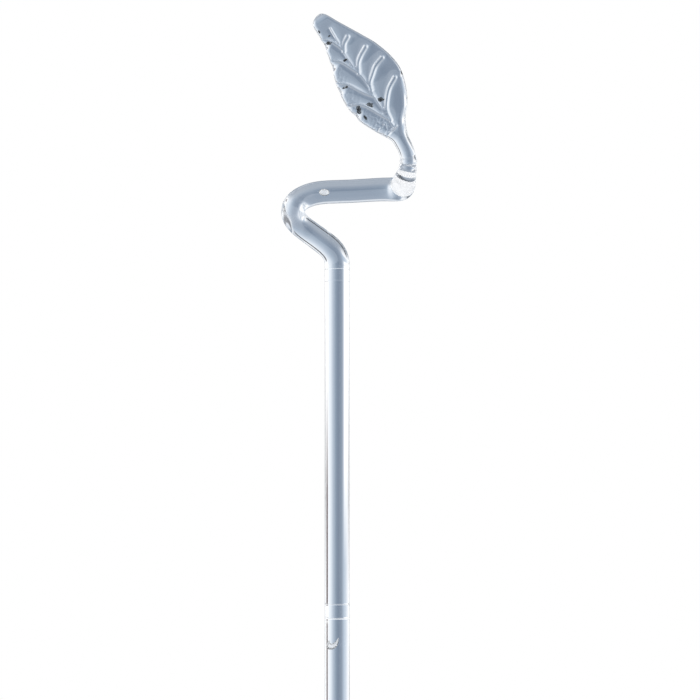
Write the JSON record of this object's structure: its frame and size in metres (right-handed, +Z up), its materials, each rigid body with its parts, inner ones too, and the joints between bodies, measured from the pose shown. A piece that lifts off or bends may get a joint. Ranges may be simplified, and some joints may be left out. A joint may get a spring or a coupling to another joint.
{
  "type": "aquarium thermometer",
  "caption": "Slim clear glass spirit thermometer for a pond or tank, with a pressed glass leaf on a curled tendril as its handle; the red column rises and falls.",
  "frame": {"origin": "centre of the small flat on the sealed foot", "axes": "+Z up the stem; the scale is read from -Y; the leaf leans towards -X"},
  "size_m": [0.0384, 0.0158, 0.2996],
  "materials": {
    "clear_glass": "clear fire-polished glass",
    "capillary_glass": "clear capillary glass",
    "red_spirit": "dyed spirit, deep red",
    "card": "matt white card with black graduations",
    "tie_wire": "fine bright wire",
    "spacer_rubber": "soft translucent white silicone",
    "wad_fibre": "white fibre",
    "shot_steel": "polished steel balls"
  },
  "bodies": {
    "thermometer": {"envelope_tube": "clear_glass", "joint_plug": "clear_glass", "handle_rod": "clear_glass", "tendril_rod": "clear_glass", "leaf_elbow": "clear_glass", "leaf_finial": "clear_glass", "capillary_tube": "capillary_glass", "bulb": "capillary_glass", "bulb_spirit": "red_spirit", "scale_card": "card", "capillary_ties": "tie_wire", "top_spacer": "spacer_rubber", "bulb_collar": "spacer_rubber", "packing_wad": "wad_fibre", "ballast_shot": "shot_steel"},
    "spirit_thread": {"spirit_thread": "red_spirit"}
  },
  "joints": [
    {"name": "thread_rise", "type": "slide", "parent": "thermometer", "child": "spirit_thread", "axis": [0, 0, 1], "range_m": [-0.0305, 0.0305], "deforming": ["spirit_thread"]}
  ]
}
